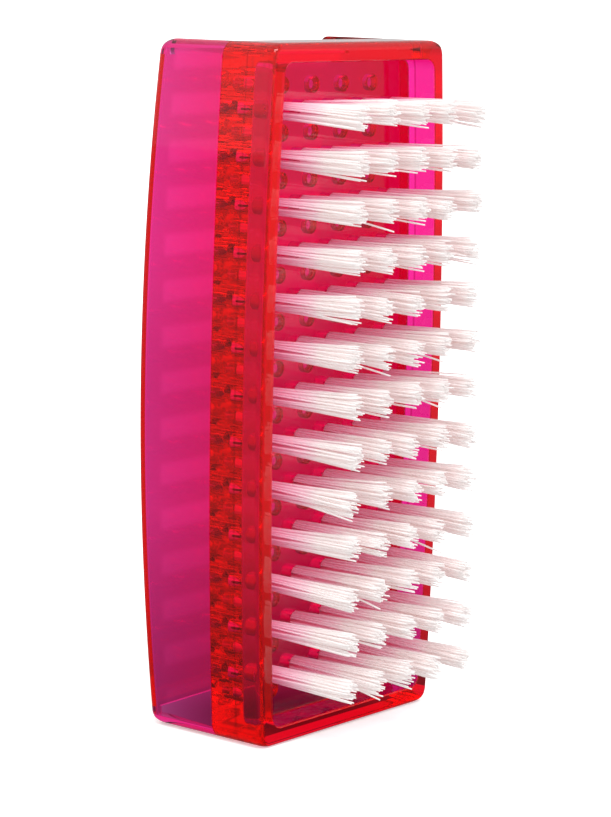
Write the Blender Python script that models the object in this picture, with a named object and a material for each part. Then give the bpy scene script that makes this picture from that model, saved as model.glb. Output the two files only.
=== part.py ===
"""Acrylic nail brush, standing on its end.

A front block, with a deep rim round a thick bristle floor, and a thin-walled
back cover meet at a glued joint. The cover is a channel, open at both ends.
The floor carries rows of nylon tufts in blind holes, with a comb of flat wire
anchors behind each row. Small round pockets open in the back of the floor.

+Z runs along the brush, the bristles point to -Y, the bowed back faces +Y and
X runs across the width. The origin is the middle of the bottom end.
"""
import math

import bmesh
import bpy
from mathutils import Matrix, Vector

MM = 0.001

# Outline
LENGTH = 92.0 * MM            # along Z
WIDTH = 36.0 * MM             # across the ends, along X
DEPTH = 19.8 * MM             # rim to back at the ends, along Y
SIDE_BOW = 1.45 * MM          # each side stands out this much at mid-length
BACK_BOW = 1.75 * MM          # the back stands out this much at mid-length
RIM_Y = -5.425 * MM           # plane of the front rim
RIM_CORNER_R = 2.0 * MM       # corners of the outline seen from the front
FRONT_EDGE_R = 1.0 * MM       # edges round the rim
BACK_EDGE_R = 1.1 * MM        # edges round the back
JOINT_EDGE_R = 0.02 * MM      # nearly sharp edges at the joint

# Joint between block and cover
JOINT_GAP = 0.3 * MM
JOINT_Y = RIM_Y + 8.6 * MM    # middle of the gap

# Front block
SIDE_WALL = 2.55 * MM
END_WALL = 2.55 * MM
WELL_CORNER_R = 1.4 * MM
FLOOR_Y = RIM_Y + 4.4 * MM
ROWS = 13                     # tuft rows, spaced along Z
COLUMNS = 5                   # tufts in a row, spaced along X
PITCH = 6.2 * MM              # tuft spacing both ways
HOLE_R = 1.25 * MM
HOLE_BOTTOM_Y = RIM_Y + 8.0 * MM
POCKET_R = 1.15 * MM
POCKET_FRONT_Y = RIM_Y + 6.3 * MM

# Back cover
COVER_SIDE_FRONT = 2.0 * MM   # side wall, measured at the front of the hollow
COVER_SIDE_BACK = 1.0 * MM    # side wall at the back
COVER_BACK_WALL = 0.7 * MM
HOLLOW_CHAMFER = 0.5 * MM     # back edges of the hollow
CHEEK_PAD = 1.4 * MM          # the cheeks are thicker this close to each end
CHEEK = 2.3 * MM              # cheek thickness at the ends
RECESS_DEPTH = 2.2 * MM       # the back wall stops this far short of the cheeks

# Tufts
TUFT_ROOT_R = 0.95 * MM
TUFT_TIP_RX = 1.75 * MM
TUFT_TIP_RZ = 2.15 * MM
TUFT_INNER_Y = RIM_Y + 6.0 * MM
TUFT_FLARE_Y = RIM_Y + 3.6 * MM    # the tufts widen from here to the tips
TUFT_TIP_Y = RIM_Y - 10.7 * MM
WEB_Y = RIM_Y - 9.5 * MM      # thin web where neighbouring tips tangle
WEB_HALF = 0.40 * MM

# Anchors and their slots
ANCHOR_WIDTH = 1.6 * MM
ANCHOR_THICK = 0.5 * MM
ANCHOR_FRONT_Y = RIM_Y + 6.3 * MM
LINK_FRONT_Y = RIM_Y + 7.8 * MM
LINK_BACK_Y = RIM_Y + 8.2 * MM
SLOT_FRONT_Y = RIM_Y + 7.5 * MM
SLOT_HALF_Z = 0.55 * MM
SLOT_END_CLEARANCE = 0.4 * MM

# How far cutters run past the faces they open
OVERRUN = 1.0 * MM
LONG_OVERRUN = 2.0 * MM
BACK_OVERRUN = 5.0 * MM       # also clears the bow of the back

# Mesh resolution
MIDDLE_STATIONS = 11          # between the end corners of a bowed loft
OUTLINE_ARC_STEPS = 4         # end corners of the outline, along Z
WELL_ARC_STEPS = 3            # end corners of the well, along Z
EDGE_ARC_STEPS = 3            # rounded corners of a cross-section
HOLLOW_SPANS = 13             # along the cover's hollow
ROUND_SEGMENTS = 8            # holes, pockets and tufts
SHARP_ANGLE = math.radians(32)


# ---------------------------------------------------------------- scene helpers
def clear_scene():
    for obj in list(bpy.data.objects):
        bpy.data.objects.remove(obj, do_unlink=True)


def new_collection(name):
    collection = bpy.data.collections.new(name)
    bpy.context.scene.collection.children.link(collection)
    return collection


def material(name, color, roughness, metallic=0.0, alpha=1.0, transmission=0.0, ior=1.49):
    mat = bpy.data.materials.new(name)
    mat.use_nodes = True
    inputs = mat.node_tree.nodes["Principled BSDF"].inputs
    inputs["Base Color"].default_value = (*color, 1.0)
    inputs["Roughness"].default_value = roughness
    inputs["Metallic"].default_value = metallic
    inputs["Alpha"].default_value = alpha
    inputs["Transmission Weight"].default_value = transmission
    inputs["IOR"].default_value = ior
    mat.diffuse_color = (*color, alpha)
    return mat


def mesh_object(name, bm, collection, mat=None):
    bmesh.ops.recalc_face_normals(bm, faces=bm.faces)
    mesh = bpy.data.meshes.new(name)
    bm.to_mesh(mesh)
    bm.free()
    obj = bpy.data.objects.new(name, mesh)
    collection.objects.link(obj)
    if mat is not None:
        mesh.materials.append(mat)
    return obj


def add_boolean(obj, name, bm, operation='DIFFERENCE'):
    """Turn bm into a hidden tool object and apply it to obj as a modifier."""
    tool = mesh_object(name, bm, cutters)
    tool.hide_render = True
    tool.display_type = 'WIRE'
    modifier = obj.modifiers.new(operation.lower() + "_" + name, 'BOOLEAN')
    modifier.operation = operation
    modifier.solver = 'EXACT'
    modifier.object = tool


# ---------------------------------------------------------------- mesh helpers
def loft(bm, rings):
    """Skin a list of equal-length point rings and close both ends."""
    rows = [[bm.verts.new(point) for point in ring] for ring in rings]
    count = len(rows[0])
    for lower, upper in zip(rows, rows[1:]):
        for i in range(count):
            j = (i + 1) % count
            bm.faces.new((lower[i], lower[j], upper[j], upper[i]))
    bm.faces.new(list(reversed(rows[0])))
    bm.faces.new(rows[-1])


def box(bm, x0, x1, y0, y1, z0, z1):
    centre = Matrix.Translation(((x0 + x1) / 2, (y0 + y1) / 2, (z0 + z1) / 2))
    size = Matrix.Diagonal((x1 - x0, y1 - y0, z1 - z0, 1.0))
    bmesh.ops.create_cube(bm, size=1.0, matrix=centre @ size)


def pin(bm, x, z, y0, y1, radius):
    """Round plug along Y."""
    centre = Matrix.Translation((x, (y0 + y1) / 2, z))
    bmesh.ops.create_cone(bm, cap_ends=True, segments=ROUND_SEGMENTS, radius1=radius,
                          radius2=radius, depth=y1 - y0,
                          matrix=centre @ Matrix.Rotation(math.pi / 2, 4, 'X'))


# ---------------------------------------------------------------- shape of the brush
def bow(z):
    """1 at mid-length, 0 at the ends."""
    t = 2.0 * z / LENGTH - 1.0
    return 1.0 - t * t


def side_x(z):
    return WIDTH / 2 + SIDE_BOW * bow(z)


def back_y(z):
    return RIM_Y + DEPTH + BACK_BOW * bow(z)


def row_z(i):
    """Height of a tuft row, counted from the top; i + 0.5 is midway to the next."""
    return LENGTH / 2 + PITCH * ((ROWS - 1) / 2 - i)


def column_x(j):
    """Place of a tuft column; j + 0.5 is midway to the next."""
    return PITCH * (j - (COLUMNS - 1) / 2)


def corner_loss(distance, radius):
    """How far a rounded corner pulls in, this far from the end."""
    if distance >= radius:
        return 0.0
    rest = radius - distance
    return radius - math.sqrt(max(0.0, radius * radius - rest * rest))


def end_stations(inset, radius, arc_steps):
    """Pairs of height and distance to the nearer end, dense in the end corners."""
    top = LENGTH - inset
    low = [inset + radius * (1 - math.cos(0.5 * math.pi * i / arc_steps))
           for i in range(arc_steps + 1)]
    high = [top - (z - inset) for z in reversed(low)]
    span = high[0] - low[-1]
    middle = [low[-1] + span * i / (MIDDLE_STATIONS + 1) for i in range(1, MIDDLE_STATIONS + 1)]
    return [(z, min(z - inset, top - z)) for z in low + middle + high]


def section(half_width, front, back, front_r, back_r, z):
    """Cross-section of the brush: a rectangle with rounded corners."""
    corners = (  # side of X, centre Y, radius, start angle
        (1, back - back_r, back_r, 0.0),
        (-1, back - back_r, back_r, 90.0),
        (-1, front + front_r, front_r, 180.0),
        (1, front + front_r, front_r, 270.0),
    )
    points = []
    for side, centre_y, radius, start in corners:
        centre_x = side * (half_width - radius)
        for i in range(EDGE_ARC_STEPS + 1):
            angle = math.radians(start + 90.0 * i / EDGE_ARC_STEPS)
            points.append(Vector((centre_x + radius * math.cos(angle),
                                  centre_y + radius * math.sin(angle), z)))
    return points


def moulding(name, mat, y_limits, front_r, back_r):
    """Solid with the bowed outline; y_limits(z, end) gives its front and back."""
    rings = []
    for z, end in end_stations(0.0, RIM_CORNER_R, OUTLINE_ARC_STEPS):
        half_width = side_x(z) - corner_loss(end, RIM_CORNER_R)
        front, back = y_limits(z, end)
        rings.append(section(half_width, front, back, front_r, back_r, z))
    bm = bmesh.new()
    loft(bm, rings)
    return mesh_object(name, bm, brush, mat)


# ---------------------------------------------------------------- front block
def cut_well(block):
    """Hollow in the front, its sides parallel to the bowed outline."""
    front = RIM_Y - LONG_OVERRUN
    rings = []
    for z, end in end_stations(END_WALL, WELL_CORNER_R, WELL_ARC_STEPS):
        half = side_x(z) - SIDE_WALL - corner_loss(end, WELL_CORNER_R)
        rings.append([Vector((half, front, z)), Vector((half, FLOOR_Y, z)),
                      Vector((-half, FLOOR_Y, z)), Vector((-half, front, z))])
    bm = bmesh.new()
    loft(bm, rings)
    add_boolean(block, "well_cutter", bm)


def cut_tuft_holes(block):
    bm = bmesh.new()
    for i in range(ROWS):
        for j in range(COLUMNS):
            pin(bm, column_x(j), row_z(i), FLOOR_Y - OVERRUN, HOLE_BOTTOM_Y, HOLE_R)
    add_boolean(block, "tuft_hole_cutter", bm)


def cut_pockets(block):
    """Pockets in the back, between the columns, on both sides of every tuft row."""
    bm = bmesh.new()
    for i in range(ROWS + 1):
        for j in range(COLUMNS - 1):
            pin(bm, column_x(j + 0.5), row_z(i - 0.5), POCKET_FRONT_Y, JOINT_Y + OVERRUN,
                POCKET_R)
    add_boolean(block, "pocket_cutter", bm)


def cut_anchor_slots(block):
    """Slots in the back, one along each row, for the joined anchors."""
    half_x = column_x(COLUMNS - 1) + ANCHOR_WIDTH / 2 + SLOT_END_CLEARANCE
    bm = bmesh.new()
    for i in range(ROWS):
        box(bm, -half_x, half_x, SLOT_FRONT_Y, JOINT_Y + OVERRUN,
            row_z(i) - SLOT_HALF_Z, row_z(i) + SLOT_HALF_Z)
    add_boolean(block, "anchor_slot_cutter", bm)


def build_block(mat):
    def y_limits(_z, end):
        return RIM_Y + corner_loss(end, FRONT_EDGE_R), JOINT_Y - JOINT_GAP / 2

    block = moulding("front_block", mat, y_limits, FRONT_EDGE_R, JOINT_EDGE_R)
    cut_well(block)
    cut_tuft_holes(block)
    cut_pockets(block)
    cut_anchor_slots(block)


# ---------------------------------------------------------------- back cover
def cut_hollow(cover):
    """Inside of the channel, open to the front, with chamfered back edges."""
    front_y = JOINT_Y - OVERRUN
    rings = []
    for k in range(HOLLOW_SPANS + 1):
        z = CHEEK_PAD + (LENGTH - 2 * CHEEK_PAD) * k / HOLLOW_SPANS
        rear_y = back_y(z) - COVER_BACK_WALL
        front = side_x(z) - COVER_SIDE_FRONT
        rear = side_x(z) - COVER_SIDE_BACK
        half = [(front, front_y), (rear, rear_y - HOLLOW_CHAMFER),
                (rear - HOLLOW_CHAMFER, rear_y)]
        rings.append([Vector((x, y, z)) for x, y in half]
                     + [Vector((-x, y, z)) for x, y in reversed(half)])
    bm = bmesh.new()
    loft(bm, rings)
    add_boolean(cover, "hollow_cutter", bm)


def cut_end_recesses(cover):
    """Open both ends between the cheeks."""
    half_x = WIDTH / 2 - CHEEK
    for tag, z0, z1 in (("lower", -LONG_OVERRUN, RECESS_DEPTH),
                        ("upper", LENGTH - RECESS_DEPTH, LENGTH + LONG_OVERRUN)):
        bm = bmesh.new()
        box(bm, -half_x, half_x, JOINT_Y - LONG_OVERRUN, RIM_Y + DEPTH + BACK_OVERRUN, z0, z1)
        add_boolean(cover, tag + "_recess_cutter", bm)


def build_cover(mat):
    def y_limits(z, end):
        return JOINT_Y + JOINT_GAP / 2, back_y(z) - corner_loss(end, BACK_EDGE_R)

    cover = moulding("back_cover", mat, y_limits, JOINT_EDGE_R, BACK_EDGE_R)
    cut_hollow(cover)
    cut_end_recesses(cover)


# ---------------------------------------------------------------- tufts and anchors
def tuft_ring(x, y, z, rx, rz):
    angles = [2 * math.pi * k / ROUND_SEGMENTS for k in range(ROUND_SEGMENTS)]
    return [Vector((x + rx * math.cos(angle), y, z + rz * math.sin(angle)))
            for angle in angles]


def build_tuft_row(i, mat):
    """Flared bundles, joined near their tips by the web."""
    profile = (  # Y, radius along X, radius along Z
        (TUFT_INNER_Y, TUFT_ROOT_R, TUFT_ROOT_R),
        (TUFT_FLARE_Y, TUFT_ROOT_R, TUFT_ROOT_R),
        (TUFT_TIP_Y, TUFT_TIP_RX, TUFT_TIP_RZ),
    )
    z = row_z(i)
    name = f"tuft_row_{i + 1:02d}"
    bm = bmesh.new()
    for j in range(COLUMNS):
        loft(bm, [tuft_ring(column_x(j), y, z, rx, rz) for y, rx, rz in profile])
    row = mesh_object(name, bm, brush, mat)

    bm = bmesh.new()
    box(bm, column_x(0), column_x(COLUMNS - 1), WEB_Y - WEB_HALF, WEB_Y + WEB_HALF,
        z - WEB_HALF, z + WEB_HALF)
    add_boolean(row, name + "_web", bm, 'UNION')


def comb_outline():
    """Flat comb in X and Y: one blade per hole on a thin link."""
    half = ANCHOR_WIDTH / 2
    end = column_x(COLUMNS - 1) + half
    points = [(-end, LINK_BACK_Y)]
    for j in range(COLUMNS):
        x = column_x(j)
        points += [(x - half, LINK_FRONT_Y), (x - half, ANCHOR_FRONT_Y),
                   (x + half, ANCHOR_FRONT_Y), (x + half, LINK_FRONT_Y)]
    return points + [(end, LINK_BACK_Y)]


def build_anchor_row(i, mat):
    z = row_z(i) - ANCHOR_THICK / 2
    bm = bmesh.new()
    face = bm.faces.new([bm.verts.new((x, y, z)) for x, y in comb_outline()])
    lifted = bmesh.ops.extrude_face_region(bm, geom=[face])["geom"]
    bmesh.ops.translate(bm, verts=[v for v in lifted if isinstance(v, bmesh.types.BMVert)],
                        vec=(0.0, 0.0, ANCHOR_THICK))
    mesh_object(f"anchor_row_{i + 1:02d}", bm, brush, mat)


# ---------------------------------------------------------------- build
clear_scene()
brush = new_collection("nail_brush")
cutters = new_collection("cutters")

build_block(material("acrylic_block", color=(0.90, 0.02, 0.12), roughness=0.06,
                     alpha=0.75, transmission=0.85))
build_cover(material("acrylic_cover", color=(0.90, 0.04, 0.28), roughness=0.06,
                     alpha=0.65, transmission=0.9))
nylon = material("nylon", color=(0.94, 0.91, 0.89), roughness=0.42)
wire = material("anchor_wire", color=(0.42, 0.36, 0.34), roughness=0.35, metallic=1.0)
for row_index in range(ROWS):
    build_tuft_row(row_index, nylon)
for row_index in range(ROWS):
    build_anchor_row(row_index, wire)

for part in brush.objects:
    part.data.shade_smooth()
    part.data.set_sharp_from_angle(angle=SHARP_ANGLE)
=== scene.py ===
"""Acrylic nail brush: a clear dyed block and cover holding 13 rows of nylon tufts.

The brush stands on one end: length up Z from z = 0, width along X, centred on x = 0.
Front is -Y, where the bristle tips point; the bowed cover closes the back, at +Y.
"""
import math
import random

import bmesh
import bpy
import numpy as np
from mathutils import Matrix, Vector


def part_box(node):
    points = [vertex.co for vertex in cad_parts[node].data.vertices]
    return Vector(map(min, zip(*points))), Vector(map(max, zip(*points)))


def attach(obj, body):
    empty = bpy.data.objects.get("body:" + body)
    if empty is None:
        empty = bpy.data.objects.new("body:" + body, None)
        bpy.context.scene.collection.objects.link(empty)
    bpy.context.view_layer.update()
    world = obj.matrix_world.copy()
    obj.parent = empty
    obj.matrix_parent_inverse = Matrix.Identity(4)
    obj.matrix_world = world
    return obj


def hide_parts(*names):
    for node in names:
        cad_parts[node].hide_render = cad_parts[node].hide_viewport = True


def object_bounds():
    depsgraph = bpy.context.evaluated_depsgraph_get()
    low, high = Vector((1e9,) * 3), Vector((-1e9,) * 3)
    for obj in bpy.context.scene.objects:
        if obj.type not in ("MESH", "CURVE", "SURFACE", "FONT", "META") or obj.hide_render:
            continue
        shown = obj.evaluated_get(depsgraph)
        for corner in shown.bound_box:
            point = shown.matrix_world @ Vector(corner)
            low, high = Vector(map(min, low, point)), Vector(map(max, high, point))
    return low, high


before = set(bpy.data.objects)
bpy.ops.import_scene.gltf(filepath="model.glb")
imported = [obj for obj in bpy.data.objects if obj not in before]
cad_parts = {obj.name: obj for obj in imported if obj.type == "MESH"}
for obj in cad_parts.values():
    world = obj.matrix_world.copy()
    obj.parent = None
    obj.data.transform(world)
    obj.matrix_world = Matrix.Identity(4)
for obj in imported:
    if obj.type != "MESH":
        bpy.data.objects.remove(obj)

MM = 0.001
CAD_LO, CAD_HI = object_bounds()
CAD_LO, CAD_HI = Vector(CAD_LO), Vector(CAD_HI)
BLOCK_LO, BLOCK_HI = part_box("front_block")
COVER_LO, COVER_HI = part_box("back_cover")
TUFT_LO, TUFT_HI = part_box("tuft_row_01")
LAST_TUFT_LO, LAST_TUFT_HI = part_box("tuft_row_13")

# ------------------------------------------------------------------ dimensions
# Outer form of block and cover
LENGTH = BLOCK_HI.z - BLOCK_LO.z
RIM_Y = BLOCK_LO.y                      # front face of the block
SIDE_BOW = 1.45 * MM                    # extra half width at mid length
HALF_WIDTH = BLOCK_HI.x - SIDE_BOW      # at the two ends
BACK_BOW = 1.75 * MM
BACK_END_Y = COVER_HI.y - BACK_BOW
END_CORNER_R = 2.0 * MM
FRONT_EDGE_R = 1.0 * MM
BACK_EDGE_R = 1.1 * MM
JOINT_EDGE_R = 0.04 * MM
JOINT_Y = (BLOCK_HI.y + COVER_LO.y) / 2
HALF_GLUE = 0.03 * MM                   # gap on each side of the joint plane
OVERCUT = 1 * MM                        # how far a cutter starts outside the face it cuts

# Well in the front of the block
SIDE_WALL = 2.55 * MM
END_WALL = 2.55 * MM
WELL_CORNER_R = 1.4 * MM
WELL_LIP_R = 0.25 * MM
WELL_FOOT_R = 0.3 * MM
FLOOR_Y = RIM_Y + 4.4 * MM

# Tuft holes in the well floor, and pockets between them from the joint face
ROWS, COLUMNS = 13, 5
ROW_TOP = (TUFT_LO.z + TUFT_HI.z) / 2
PITCH = (ROW_TOP - (LAST_TUFT_LO.z + LAST_TUFT_HI.z) / 2) / (ROWS - 1)
HOLE_R = 1.2 * MM
HOLE_END_Y = RIM_Y + 8.0 * MM
POCKET_R = 1.15 * MM
POCKET_FRONT_Y = RIM_Y + 6.3 * MM

# Cavity and end recesses of the cover
CAVITY_SIDE_FRONT = 2.0 * MM            # wall at the joint
CAVITY_SIDE_BACK = 1.0 * MM             # wall at the back
CAVITY_BACK_WALL = 0.7 * MM
CAVITY_END = 1.4 * MM
CAVITY_CORNER_R = 0.6 * MM
RECESS_DEPTH = 2.2 * MM
RECESS_CHEEK = 2.3 * MM                 # width left standing on each side of a recess
RECESS_EDGE_R = 0.1 * MM

# Bristles
BRISTLE_R = 0.129 * MM
BRISTLE_SIDES = 6
BRISTLE_STEPS = 9
BRISTLE_ROOT_Y = RIM_Y + 6.1 * MM
TIP_Y = TUFT_LO.y
TIP_SCALE = 0.72                        # radius at the tip over radius of the shaft
BRISTLE_SPACING = 0.262 * MM
BRISTLE_JITTER = 0.08                   # share of the spacing
HEX_ROW = 0.866                         # row step of a hexagonal grid over its spacing
ANCHOR_GAP = 0.20 * MM                  # kept clear on each side of the anchor
TUFT_REACH = HOLE_R - BRISTLE_R - 0.02 * MM
UPRIGHT_Z = 0.28 * MM                   # bristles this close to the tuft's centre don't splay

# Anchors
ANCHOR_SIZE = (2.0 * MM, 1.2 * MM, 0.36 * MM)
ANCHOR_Y = RIM_Y + 7.1 * MM
ANCHOR_BEVEL = 0.08 * MM


def row_z(row):
    return ROW_TOP - PITCH * row


def column_x(column):
    return PITCH * (column - (COLUMNS - 1) / 2)


# ------------------------------------------------------------------ shader helpers
def new_material(name):
    """Material with an unlinked Principled node and output: (material, tree, bsdf, output)."""
    material = bpy.data.materials.new(name)
    material.use_nodes = True
    tree = material.node_tree
    tree.nodes.clear()
    output = tree.nodes.new("ShaderNodeOutputMaterial")
    bsdf = tree.nodes.new("ShaderNodeBsdfPrincipled")
    return material, tree, bsdf, output


def feed(tree, socket, source):
    """Link source into the socket, or set it when source is a plain value."""
    if isinstance(source, bpy.types.NodeSocket):
        tree.links.new(source, socket)
    else:
        socket.default_value = source


def calculate(tree, operation, *operands):
    node = tree.nodes.new("ShaderNodeMath")
    node.operation = operation
    for socket, operand in zip(node.inputs, operands):
        feed(tree, socket, operand)
    return node.outputs[0]


def remap(tree, value, to, source=(0.0, 1.0), smooth=False):
    """Map the range source = (min, max) onto the range to, clamped."""
    node = tree.nodes.new("ShaderNodeMapRange")
    if smooth:
        node.interpolation_type = "SMOOTHSTEP"
    feed(tree, node.inputs["From Min"], source[0])
    feed(tree, node.inputs["From Max"], source[1])
    feed(tree, node.inputs["To Min"], to[0])
    feed(tree, node.inputs["To Max"], to[1])
    feed(tree, node.inputs["Value"], value)
    return node.outputs["Result"]


def mix_colour(tree, factor, at_0, at_1):
    node = tree.nodes.new("ShaderNodeMix")
    node.data_type = "RGBA"
    feed(tree, node.inputs[0], factor)
    feed(tree, node.inputs[6], at_0)
    feed(tree, node.inputs[7], at_1)
    return node.outputs[2]


def mix_or_add(tree, kind, *sources):
    """Mix Shader (factor, first, second) or Add Shader (first, second)."""
    node = tree.nodes.new(kind)
    for socket, source in zip(node.inputs, sources):
        feed(tree, socket, source)
    return node.outputs[0]


def object_position(tree):
    return tree.nodes.new("ShaderNodeTexCoord").outputs["Object"]


def object_axes(tree):
    """Outputs X, Y and Z of the object coordinates, in metres."""
    node = tree.nodes.new("ShaderNodeSeparateXYZ")
    feed(tree, node.inputs[0], object_position(tree))
    return node.outputs


def noise(tree, scale, detail):
    node = tree.nodes.new("ShaderNodeTexNoise")
    node.inputs["Scale"].default_value = scale
    node.inputs["Detail"].default_value = detail
    feed(tree, node.inputs["Vector"], object_position(tree))
    return node.outputs["Fac"]


def mirrored_share(tree, light_path):
    """1 for a mirrored ray down to ray depth 1, 0.5 for a deeper one, 0 for any other ray."""
    not_transmitted = calculate(tree, "SUBTRACT", 1.0, light_path["Is Transmission Ray"])
    mirrored = calculate(tree, "MULTIPLY", light_path["Is Glossy Ray"], not_transmitted)
    first = calculate(tree, "LESS_THAN", light_path["Ray Depth"], 1.5)
    return calculate(tree, "MULTIPLY", mirrored, remap(tree, first, to=(0.5, 1.0)))


# ------------------------------------------------------------------ materials
CLEAR = (1.0, 0.99, 0.99, 1)


def well_painted_shade(tree):
    """Painted shade: the walls of the rim and, much more, the face of the well floor are
    darkened, so they let less light through.
    """
    y = object_axes(tree)["Y"]
    wall = remap(tree, y, to=(1.0, 0.0), source=(FLOOR_Y - 0.35 * MM, FLOOR_Y - 0.25 * MM))
    from_floor = calculate(tree, "ABSOLUTE", calculate(tree, "SUBTRACT", y, FLOOR_Y))
    face = remap(tree, from_floor, to=(1.0, 0.0), source=(0.05 * MM, 0.25 * MM))
    walls = mix_colour(tree, wall, at_0=CLEAR, at_1=(0.94, 0.82, 0.76, 1))
    return mix_colour(tree, face, at_0=walls, at_1=(0.52, 0.14, 0.26, 1))


def cover_painted_light_bands(tree):
    """Painted light: faint bright bands across the cover, one behind each row of tufts, with
    painted shade between them.
    """
    axes = object_axes(tree)
    phase = calculate(tree, "MULTIPLY_ADD", axes["Z"],
                      2 * math.pi / PITCH, -2 * math.pi * ROW_TOP / PITCH)
    band = remap(tree, calculate(tree, "COSINE", phase),
                 to=(0.0, 1.0), source=(-0.45, 0.75), smooth=True)
    # The bands fade out towards the sides.
    inside = remap(tree, calculate(tree, "ABSOLUTE", axes["X"]),
                   to=(1.0, 0.0), source=(13.6 * MM, 15.0 * MM), smooth=True)
    strength = calculate(tree, "MULTIPLY", band, inside)
    return mix_colour(tree, strength, at_0=(0.86, 0.62, 0.80, 1), at_1=(1.0, 0.98, 0.98, 1))


def acrylic(name, absorption, painted_light_and_shade):
    """Dyed clear acrylic, coloured by depth: absorption is per mm for red, green and blue.

    The last argument is the function that builds the surface colour, with light and shade
    painted into it."""
    material, tree, bsdf, output = new_material(name)
    bsdf.inputs["Base Color"].default_value = CLEAR     # plain value under the linked colour, which has light and shade painted into it
    bsdf.inputs["Transmission Weight"].default_value = 1.0
    bsdf.inputs["IOR"].default_value = 1.49
    roughness = remap(tree, noise(tree, scale=2600.0, detail=2.0),
                      to=(0.02, 0.06), source=(0.42, 0.75))
    feed(tree, bsdf.inputs["Roughness"], roughness)

    # Slight waviness of the surface
    bump = tree.nodes.new("ShaderNodeBump")
    bump.inputs["Strength"].default_value = 0.05
    bump.inputs["Distance"].default_value = 0.00015
    feed(tree, bump.inputs["Height"], noise(tree, scale=70.0, detail=3.0))
    feed(tree, bsdf.inputs["Normal"], bump.outputs["Normal"])
    feed(tree, bsdf.inputs["Base Color"], painted_light_and_shade(tree))

    strongest = max(absorption)
    volume = tree.nodes.new("ShaderNodeVolumeAbsorption")
    volume.inputs["Color"].default_value = (*(1.0 - a / strongest for a in absorption), 1)
    volume.inputs["Density"].default_value = strongest * 1000.0     # per metre
    feed(tree, output.inputs["Volume"], volume.outputs["Volume"])
    feed(tree, output.inputs["Surface"], bsdf.outputs["BSDF"])
    return material


def nylon(name):
    """White nylon, cream at the tips; near the roots the pink light from the block is painted
    into its colour.
    """
    material, tree, bsdf, output = new_material(name)
    bsdf.inputs["IOR"].default_value = 1.5
    bsdf.inputs["Specular IOR Level"].default_value = 0.3
    grain = noise(tree, scale=1500.0, detail=2.0)
    white = mix_colour(tree, grain, at_0=(0.975, 0.965, 0.96, 1), at_1=(0.995, 0.99, 0.985, 1))
    # Painted light: the colour turns pink towards the roots, for the light from the red block.
    rootward = remap(tree, object_axes(tree)["Y"], to=(0.0, 1.0),
                     source=(RIM_Y - 4.5 * MM, FLOOR_Y + 1.0 * MM))
    colour = mix_colour(tree, rootward, at_0=white, at_1=(1.0, 0.62, 0.80, 1))
    feed(tree, bsdf.inputs["Base Color"], colour)
    roughness = remap(tree, grain, to=(0.34, 0.5), source=(0.3, 0.7))
    feed(tree, bsdf.inputs["Roughness"], roughness)

    # Painted glow: a faint emission, pinker near the roots, lifts the shade among the filaments
    # in place of light carried along inside them
    painted_glow_colour = mix_colour(tree, rootward, at_0=(1.0, 0.45, 0.43, 1), at_1=(1.0, 0.20, 0.32, 1))
    feed(tree, bsdf.inputs["Emission Color"], painted_glow_colour)
    bsdf.inputs["Emission Strength"].default_value = 0.058

    # Half of the surface lets light through diffusely.
    translucent = tree.nodes.new("ShaderNodeBsdfTranslucent")
    feed(tree, translucent.inputs["Color"], colour)
    surface = mix_or_add(tree, "ShaderNodeMixShader",
                         0.5, bsdf.outputs["BSDF"], translucent.outputs["BSDF"])
    feed(tree, output.inputs["Surface"], surface)
    return material


def wire(name):
    """Dull grey metal."""
    material, tree, bsdf, output = new_material(name)
    bsdf.inputs["Metallic"].default_value = 1.0
    grain = noise(tree, scale=900.0, detail=4.0)
    colour = mix_colour(tree, grain, at_0=(0.23, 0.20, 0.19, 1), at_1=(0.46, 0.43, 0.41, 1))
    feed(tree, bsdf.inputs["Base Color"], colour)
    feed(tree, bsdf.inputs["Roughness"], remap(tree, grain, to=(0.28, 0.5)))
    feed(tree, output.inputs["Surface"], bsdf.outputs["BSDF"])
    return material


def floor_paper(name):
    """White paper: lit for the camera, a set glow for every other ray."""
    material, tree, bsdf, output = new_material(name)
    grain = noise(tree, scale=30.0, detail=3.0)
    colour = mix_colour(tree, grain, at_0=(0.94, 0.94, 0.94, 1), at_1=(0.96, 0.96, 0.96, 1))
    feed(tree, bsdf.inputs["Base Color"], colour)
    bsdf.inputs["Roughness"].default_value = 0.85
    bsdf.inputs["Specular IOR Level"].default_value = 0.1
    lift = tree.nodes.new("ShaderNodeEmission")
    lift.inputs["Strength"].default_value = 0.35
    seen = mix_or_add(tree, "ShaderNodeAddShader", bsdf.outputs["BSDF"], lift.outputs[0])

    # Painted shade: seen through or mirrored in the acrylic, the paper's glow darkens towards
    # the brush and under it, and more in reflections.
    length = tree.nodes.new("ShaderNodeVectorMath")
    length.operation = "LENGTH"
    feed(tree, length.inputs[0], object_position(tree))
    distance = length.outputs["Value"]
    near = remap(tree, distance, to=(0.38, 0.86), source=(0.0, 0.15))
    far = remap(tree, distance, to=(0.0, 0.22), source=(0.32, 0.60))
    shade = remap(tree, distance, to=(0.35, 1.0), source=(0.010, 0.024))  # under the brush
    light_path = tree.nodes.new("ShaderNodeLightPath").outputs
    dimming = remap(tree, mirrored_share(tree, light_path), to=(1.0, 0.30))
    level = calculate(tree, "MULTIPLY", calculate(tree, "ADD", near, far), shade)
    level = calculate(tree, "MULTIPLY", level, dimming)

    # The bristles gather light from bright paper.
    level = calculate(tree, "MAXIMUM", level, light_path["Is Diffuse Ray"])
    glow = tree.nodes.new("ShaderNodeEmission")
    feed(tree, glow.inputs["Strength"], level)
    surface = mix_or_add(tree, "ShaderNodeMixShader",
                         light_path["Is Camera Ray"], glow.outputs[0], seen)
    feed(tree, output.inputs["Surface"], surface)
    return material


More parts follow.
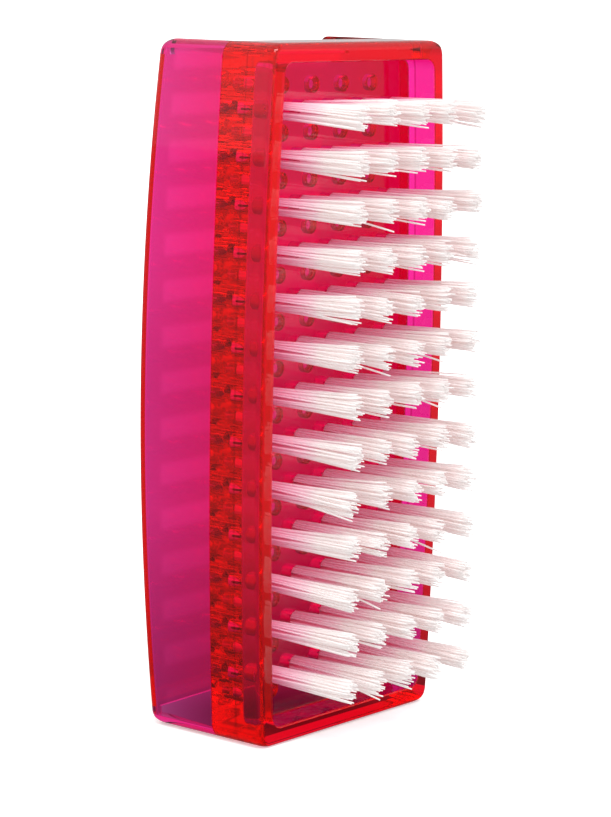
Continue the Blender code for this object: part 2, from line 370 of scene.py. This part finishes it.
# ------------------------------------------------------------------ mesh helpers
def make_object(name, bm, material=None, smooth=True):
    bmesh.ops.recalc_face_normals(bm, faces=bm.faces)
    mesh = bpy.data.meshes.new(name)
    bm.to_mesh(mesh)
    bm.free()
    ob = bpy.data.objects.new(name, mesh)
    bpy.context.scene.collection.objects.link(ob)
    if material:
        mesh.materials.append(material)
    if smooth:
        mesh.shade_smooth()
        mesh.set_sharp_from_angle(angle=math.radians(30))
    return ob


def loft(bm, rings):
    """Skin a closed solid through rings of equal point count."""
    rows = [[bm.verts.new(point) for point in ring] for ring in rings]
    count = len(rows[0])
    for row, following in zip(rows, rows[1:]):
        for i in range(count):
            j = (i + 1) % count
            bm.faces.new((row[i], row[j], following[j], following[i]))
    bm.faces.new(list(reversed(rows[0])))
    bm.faces.new(rows[-1])


def lofted(rings):
    bm = bmesh.new()
    loft(bm, rings)
    return bm


def apply_modifiers(ob):
    depsgraph = bpy.context.evaluated_depsgraph_get()
    mesh = bpy.data.meshes.new_from_object(ob.evaluated_get(depsgraph),
                                           preserve_all_data_layers=True,
                                           depsgraph=depsgraph)
    old = ob.data
    ob.modifiers.clear()
    ob.data = mesh
    bpy.data.meshes.remove(old)


def cut(ob, tool):
    """Subtract the tool object from ob and delete it."""
    boolean = ob.modifiers.new("boolean", "BOOLEAN")
    boolean.operation = "DIFFERENCE"
    boolean.solver = "EXACT"
    boolean.object = tool
    apply_modifiers(ob)
    bpy.data.objects.remove(tool, do_unlink=True)


def finish_shading(ob):
    ob.data.shade_smooth()
    ob.data.set_sharp_from_angle(angle=math.radians(28))
    normals = ob.modifiers.new("weighted_normal", "WEIGHTED_NORMAL")
    normals.keep_sharp = True
    normals.weight = 80
    apply_modifiers(ob)


def register(ob, piece):
    """Tell the frame what the object rides on and the piece it replaces."""
    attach(ob, "root")
    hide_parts(piece)


# ------------------------------------------------------------------ outer form
def bow(z):
    """Share of the full bow at height z: 0 at the ends, 1 at mid length."""
    t = 2.0 * z / LENGTH - 1.0
    return max(0.0, 1.0 - t * t)


def side_x(z):
    return HALF_WIDTH + SIDE_BOW * bow(z)


def back_y(z):
    return BACK_END_Y + BACK_BOW * bow(z)


def corner_inset(distance, radius):
    """How far a rounded corner pulls a face in, at this distance from the end."""
    if distance >= radius:
        return 0.0
    return radius - math.sqrt(max(0.0, radius * radius - (radius - distance) ** 2))


def stations(z0, z1, radius, middle, arc):
    """Heights from z0 to z1: arc steps round each end corner, middle ones between them."""
    low = [z0 + radius * (1 - math.cos(0.5 * math.pi * i / arc)) for i in range(arc + 1)]
    high = [z1 - (z - z0) for z in reversed(low)]
    span = high[0] - low[-1]
    return low + [low[-1] + span * i / (middle + 1) for i in range(1, middle + 1)] + high


def body_stations():
    """(z, half width, distance to the nearer end) for each section of block and cover."""
    for z in stations(0.0, LENGTH, END_CORNER_R, middle=60, arc=14):
        to_end = min(z, LENGTH - z)
        yield z, side_x(z) - corner_inset(to_end, END_CORNER_R), to_end


def section(z, half, front, back, front_r, back_r, front_steps, back_steps):
    """Rounded rectangle across the brush; front and back are its Y limits."""
    points = []
    for side, y, radius, start, steps in ((1, back - back_r, back_r, 0, back_steps),
                                          (-1, back - back_r, back_r, 90, back_steps),
                                          (-1, front + front_r, front_r, 180, front_steps),
                                          (1, front + front_r, front_r, 270, front_steps)):
        x = side * (half - radius)
        for i in range(steps + 1):
            angle = math.radians(start + 90.0 * i / steps)
            points.append(Vector((x + radius * math.cos(angle),
                                  y + radius * math.sin(angle), z)))
    return points


# ------------------------------------------------------------------ front block
def well_ring(grow, y):
    """Outline of the well in X and Z, following the bowed sides, grown outwards by grow."""
    z0, z1 = END_WALL - grow, LENGTH - END_WALL + grow
    radius = WELL_CORNER_R + grow
    plus_x, minus_x = [], []
    for z in stations(z0, z1, radius, middle=46, arc=10):
        half = side_x(z) - SIDE_WALL + grow - corner_inset(min(z - z0, z1 - z), radius)
        plus_x.append(Vector((half, y, z)))
        minus_x.append(Vector((-half, y, z)))
    return plus_x + list(reversed(minus_x))


def well_cutter():
    """Well with a rounded lip at the front and a small fillet at the floor."""
    rings = [well_ring(WELL_LIP_R, RIM_Y - OVERCUT)]
    for k in range(7):
        angle = 0.5 * math.pi * k / 6
        rings.append(well_ring(WELL_LIP_R * (1 - math.sin(angle)),
                               RIM_Y + WELL_LIP_R * (1 - math.cos(angle))))
    for k in range(6):
        angle = 0.5 * math.pi * k / 5
        rings.append(well_ring(-WELL_FOOT_R * (1 - math.cos(angle)),
                               FLOOR_Y - WELL_FOOT_R * (1 - math.sin(angle))))
    return make_object("well_cutter", lofted(rings))


def add_hole(bm, x, z):
    """Flat-ended cylinder for one tuft hole."""
    front = FLOOR_Y - OVERCUT
    place = Matrix.Translation((x, (front + HOLE_END_Y) / 2, z))
    bmesh.ops.create_cone(bm, cap_ends=True, segments=32, radius1=HOLE_R, radius2=HOLE_R,
                          depth=HOLE_END_Y - front,
                          matrix=place @ Matrix.Rotation(math.pi / 2, 4, "X"))


def add_pocket(bm, x, z, segments=32):
    """Cylinder from the joint face whose front end is rounded off."""
    profile = []                        # (y, radius)
    for k in range(8):
        angle = 0.5 * math.pi * k / 7
        profile.append((POCKET_FRONT_Y + 0.55 * POCKET_R * (1 - math.cos(angle)),
                        POCKET_R * max(0.12, math.sin(angle))))
    profile.append((JOINT_Y + OVERCUT, POCKET_R))
    turns = [2 * math.pi * q / segments for q in range(segments)]
    loft(bm, [[Vector((x + radius * math.cos(turn), y, z + radius * math.sin(turn)))
               for turn in turns] for y, radius in profile])


def build_block():
    rings = [section(z, half, RIM_Y + corner_inset(to_end, FRONT_EDGE_R), JOINT_Y - HALF_GLUE,
                     FRONT_EDGE_R, JOINT_EDGE_R, front_steps=10, back_steps=2)
             for z, half, to_end in body_stations()]
    block = make_object("acrylic_front_block", lofted(rings), BLOCK_ACRYLIC)
    cut(block, well_cutter())

    bm = bmesh.new()
    for row in range(ROWS):
        for column in range(COLUMNS):
            add_hole(bm, column_x(column), row_z(row))
    for row in range(ROWS + 1):
        for column in range(COLUMNS - 1):
            add_pocket(bm, column_x(column + 0.5), row_z(row) + PITCH / 2)
    cut(block, make_object("hole_cutter", bm, smooth=False))
    finish_shading(block)
    return block


# ------------------------------------------------------------------ back cover
def cavity_cutter():
    """Hollow open at the joint, widening to rounded corners at the back."""
    rings = []
    radius = CAVITY_CORNER_R
    for k in range(61):
        z = CAVITY_END + (LENGTH - 2 * CAVITY_END) * k / 60
        back_x = side_x(z) - CAVITY_SIDE_BACK
        back = back_y(z) - CAVITY_BACK_WALL
        profile = [(side_x(z) - CAVITY_SIDE_FRONT, JOINT_Y - OVERCUT)]
        for i in range(9):
            angle = 0.5 * math.pi * i / 8
            profile.append((back_x - radius + radius * math.cos(angle),
                            back - radius + radius * math.sin(angle)))
        rings.append([Vector((x, y, z)) for x, y in profile]
                     + [Vector((-x, y, z)) for x, y in reversed(profile)])
    return make_object("cavity_cutter", lofted(rings))


def recess_cutter(z0, z1):
    """Box through the cover's full thickness between z0 and z1."""
    return make_object("recess_cutter", lofted(
        [section(z, HALF_WIDTH - RECESS_CHEEK, JOINT_Y - 2 * MM, RIM_Y + 30 * MM,
                 RECESS_EDGE_R, RECESS_EDGE_R, front_steps=2, back_steps=2)
         for z in (z0, z1)]))


def build_cover():
    rings = [section(z, half, JOINT_Y + HALF_GLUE, back_y(z) - corner_inset(to_end, BACK_EDGE_R),
                     JOINT_EDGE_R, BACK_EDGE_R, front_steps=2, back_steps=12)
             for z, half, to_end in body_stations()]
    cover = make_object("acrylic_back_cover", lofted(rings), COVER_ACRYLIC)
    cut(cover, cavity_cutter())
    cut(cover, recess_cutter(-3 * MM, RECESS_DEPTH))
    cut(cover, recess_cutter(LENGTH - RECESS_DEPTH, LENGTH + 3 * MM))
    finish_shading(cover)
    return cover


# ------------------------------------------------------------------ bristles
def filament_mesh(paths):
    """Vertices and faces of a tube along each path, narrowed at the tip."""
    verts, faces = [], []
    turns = [2 * math.pi * k / BRISTLE_SIDES for k in range(BRISTLE_SIDES)]
    ring = [(math.cos(turn), math.sin(turn)) for turn in turns]
    x_axis = np.array([1.0, 0.0, 0.0])
    for path in paths:
        points = np.asarray(path)
        tangents = np.gradient(points, axis=0)
        tangents /= np.linalg.norm(tangents, axis=1)[:, None]
        base = len(verts)
        last = len(points) - 1
        for k, (point, tangent) in enumerate(zip(points, tangents)):
            across = x_axis - tangent * (x_axis @ tangent)
            across /= np.linalg.norm(across)
            upward = np.cross(tangent, across)
            radius = BRISTLE_R * (TIP_SCALE if k == last else 1.0)
            for c, s in ring:
                verts.append(point + radius * (c * across + s * upward))
        for k in range(last):
            for q in range(BRISTLE_SIDES):
                a = base + k * BRISTLE_SIDES + q
                b = base + k * BRISTLE_SIDES + (q + 1) % BRISTLE_SIDES
                faces.append((a, b, b + BRISTLE_SIDES, a + BRISTLE_SIDES))
        faces.append(tuple(base + q for q in reversed(range(BRISTLE_SIDES))))
        faces.append(tuple(base + last * BRISTLE_SIDES + q for q in range(BRISTLE_SIDES)))
    return verts, faces


def tuft_spots(rng):
    """Jittered hexagonal (x, z, side) spots in a hole, on both sides of the anchor."""
    spots = []
    spacing = BRISTLE_SPACING
    rows = int(TUFT_REACH / (spacing * HEX_ROW)) + 1
    columns = int(TUFT_REACH / spacing) + 1
    for side in (1, -1):
        for row in range(rows + 1):
            z = ANCHOR_GAP + spacing * 0.5 + row * spacing * HEX_ROW
            for column in range(-columns, columns + 1):
                x = (column + (0.5 if row % 2 else 0.0)) * spacing
                if math.hypot(x, z) <= TUFT_REACH:
                    spots.append((x + rng.uniform(-1, 1) * spacing * BRISTLE_JITTER,
                                  side * (z + rng.uniform(-1, 1) * spacing * BRISTLE_JITTER),
                                  side))
    return spots


def tuft_paths(rng, centre_x, centre_z):
    """Centre lines of one tuft's bristles, from root to tip; the draws keep this order."""
    lean_x = rng.gauss(0, 0.18) * MM
    lean_z = rng.gauss(-0.05, 0.2) * MM
    flare_x = rng.uniform(1.28, 1.45)           # spread at the tips over spread at the roots
    splay_z = rng.uniform(1.45, 1.75) * MM      # reach of the outermost tips from the centre
    paths = []
    for root_x, root_z, side in tuft_spots(rng):
        tip_x = root_x * flare_x + lean_x + rng.gauss(0, 0.10) * MM
        tip_z = side * max(0.0, abs(root_z) - UPRIGHT_Z) / (TUFT_REACH - UPRIGHT_Z) * splay_z
        tip_z += lean_z + rng.gauss(0, 0.13) * MM
        if rng.random() < 0.03:                 # a few stray bristles
            tip_x += rng.gauss(0, 0.5) * MM
            tip_z -= abs(rng.gauss(0, 1.0)) * MM
        tip_y = TIP_Y + abs(rng.gauss(0.25, 0.33)) * MM
        bend = rng.gauss(0, 0.05) * MM
        path = []
        for k in range(BRISTLE_STEPS + 1):
            y = BRISTLE_ROOT_Y + (tip_y - BRISTLE_ROOT_Y) * (k / BRISTLE_STEPS)
            spread = max(0.0, (FLOOR_Y - y) / (FLOOR_Y - tip_y)) ** 1.25
            sway = bend * math.sin(math.pi * spread)
            path.append((centre_x + root_x + (tip_x - root_x) * spread + sway,
                         y,
                         centre_z + root_z + (tip_z - root_z) * spread - sway * 0.6))
        paths.append(path)
    return paths


def build_bristles(row):
    rng = random.Random(1000 + row)
    paths = []
    for column in range(COLUMNS):
        paths += tuft_paths(rng, column_x(column), row_z(row))
    verts, faces = filament_mesh(paths)
    name = f"bristles_row_{row + 1:02d}"
    mesh = bpy.data.meshes.new(name)
    mesh.from_pydata([tuple(vert) for vert in verts], [], faces)
    mesh.shade_smooth()
    mesh.materials.append(NYLON)
    mesh.update()
    ob = bpy.data.objects.new(name, mesh)
    bpy.context.scene.collection.objects.link(ob)
    return ob


# ------------------------------------------------------------------ anchors
def build_anchors(row):
    """One bevelled flat bar across the root of each tuft in the row."""
    bm = bmesh.new()
    for column in range(COLUMNS):
        place = Matrix.Translation((column_x(column), ANCHOR_Y, row_z(row)))
        cube = bmesh.ops.create_cube(bm, size=1.0,
                                     matrix=place @ Matrix.Diagonal((*ANCHOR_SIZE, 1)))
        edges = list({edge for vert in cube["verts"] for edge in vert.link_edges})
        bmesh.ops.bevel(bm, geom=edges, offset=ANCHOR_BEVEL, segments=2, affect="EDGES")
    return make_object(f"anchors_row_{row + 1:02d}", bm, WIRE)


# ------------------------------------------------------------------ stage
def build_floor():
    bm = bmesh.new()
    bmesh.ops.create_grid(bm, x_segments=2, y_segments=2, size=80.0)
    for vert in bm.verts:
        vert.co.z = -0.05 * MM
    return make_object("floor", bm, floor_paper("floor_paper"), smooth=False)


def build_world():
    """White surroundings, dimmed in the acrylic's reflections."""
    world = bpy.data.worlds.new("studio")
    world.use_nodes = True
    tree = world.node_tree
    light_path = tree.nodes.new("ShaderNodeLightPath").outputs
    background = tree.nodes["Background"]
    background.inputs["Color"].default_value = (1, 1, 1, 1)
    feed(tree, background.inputs["Strength"],
         remap(tree, mirrored_share(tree, light_path), to=(1.0, 0.32)))
    bpy.context.scene.world = world


def build_key_light():
    sun = bpy.data.lights.new("soft_key", "SUN")
    sun.energy = 2.2
    sun.angle = math.radians(40)
    key = bpy.data.objects.new("soft_key", sun)
    shines_along = Vector((0.25, 0.45, -1.0))
    key.rotation_euler = shines_along.to_track_quat("-Z", "Y").to_euler()
    bpy.context.scene.collection.objects.link(key)


def build_camera():
    """Long lens from the front and the -X side, slightly above, aimed near mid height."""
    azimuth, elevation, roll = (math.radians(a) for a in (-50.8247, 9.0213, 1.1680))
    distance = 375.9386                 # mm
    pivot = Vector((0, 0, 46.0))        # mm, measured from the rim plane
    shift_right, shift_up = -6.6307, -2.5253    # mm, across the view

    data = bpy.data.cameras.new("camera")
    camera = bpy.data.objects.new("camera", data)
    bpy.context.scene.collection.objects.link(camera)
    data.sensor_width = 36.0
    data.lens = 124.29694
    data.clip_start = 0.01
    data.clip_end = 300.0

    view = -Vector((math.sin(azimuth) * math.cos(elevation),
                    -math.cos(azimuth) * math.cos(elevation),
                    math.sin(elevation)))
    level_right = view.cross(Vector((0, 0, 1))).normalized()
    level_up = level_right.cross(view)
    right = math.cos(roll) * level_right + math.sin(roll) * level_up
    up = -math.sin(roll) * level_right + math.cos(roll) * level_up
    target = pivot + shift_right * right + shift_up * up
    pose = Matrix((right, up, -view)).transposed().to_4x4()
    pose.translation = (target - distance * view) * MM + Vector((0, RIM_Y, 0))
    camera.matrix_world = pose
    bpy.context.scene.camera = camera


def set_render():
    """Plain colours, and enough bounces to pass through all the clear walls."""
    scene = bpy.context.scene
    scene.view_settings.view_transform = "Standard"
    scene.cycles.max_bounces = 64
    scene.cycles.transmission_bounces = 40
    scene.cycles.glossy_bounces = 40
    scene.cycles.diffuse_bounces = 10


# ------------------------------------------------------------------ build
BLOCK_ACRYLIC = acrylic("acrylic_block", absorption=(0.002, 1.25, 0.34), painted_light_and_shade=well_painted_shade)
COVER_ACRYLIC = acrylic("acrylic_cover", absorption=(0.002, 1.5, 0.52), painted_light_and_shade=cover_painted_light_bands)
NYLON = nylon("nylon_filament")
WIRE = wire("anchor_wire")

front_block = build_block()
back_cover = build_cover()
for row in range(ROWS):
    register(build_bristles(row), f"tuft_row_{row + 1:02d}")
for row in range(ROWS):
    register(build_anchors(row), f"anchor_row_{row + 1:02d}")
register(front_block, "front_block")
register(back_cover, "back_cover")

build_floor()
build_world()
build_key_light()
build_camera()
set_render()
